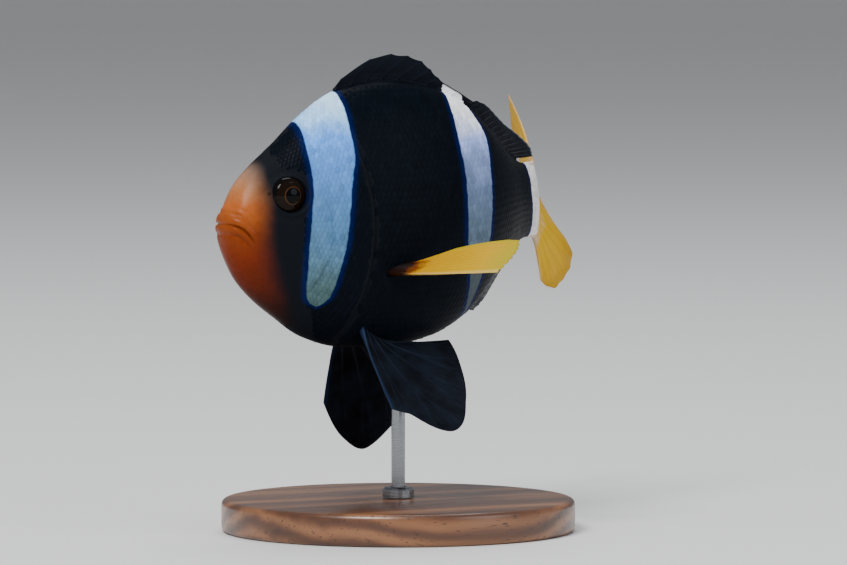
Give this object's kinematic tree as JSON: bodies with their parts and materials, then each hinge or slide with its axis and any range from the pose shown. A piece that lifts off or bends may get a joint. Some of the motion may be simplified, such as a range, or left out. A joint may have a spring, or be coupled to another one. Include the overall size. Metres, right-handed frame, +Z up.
{
  "type": "fish display model",
  "caption": "Life-size model of a clownfish turning as it swims, with its fins spread, held over a round wooden base by a slim steel rod.",
  "frame": {"origin": "centre of the round base's flat underside, which the model stands on", "axes": "+Z up. The head points to -X and the left flank faces -Y; the tail bends towards +Y, to the fish's right"},
  "size_m": [0.1107, 0.0851, 0.1029],
  "materials": {
    "black_skin": "wet black scaled skin",
    "orange_skin": "wet orange skin of the face",
    "white_skin": "wet bluish-white scaled skin",
    "black_fin": "satin black fin",
    "yellow_fin": "satin yellow-orange fin",
    "eye": "clear polished cornea over a dark iris",
    "stand_wood": "satin varnished walnut",
    "stand_steel": "brushed"
  },
  "bodies": {
    "root": {"head": "orange_skin", "trunk": "black_skin", "tail_stalk": "white_skin", "dorsal_fin": "black_fin", "anal_fin": "black_fin", "tail_fin": "yellow_fin", "pectoral_fin_left": "yellow_fin", "pectoral_fin_right": "yellow_fin", "pelvic_fin_left": "black_fin", "pelvic_fin_right": "black_fin", "eye_left": "eye", "eye_right": "eye", "stand_base": "stand_wood", "stand_rod": "stand_steel", "stand_collar": "stand_steel"}
  },
  "joints": []
}
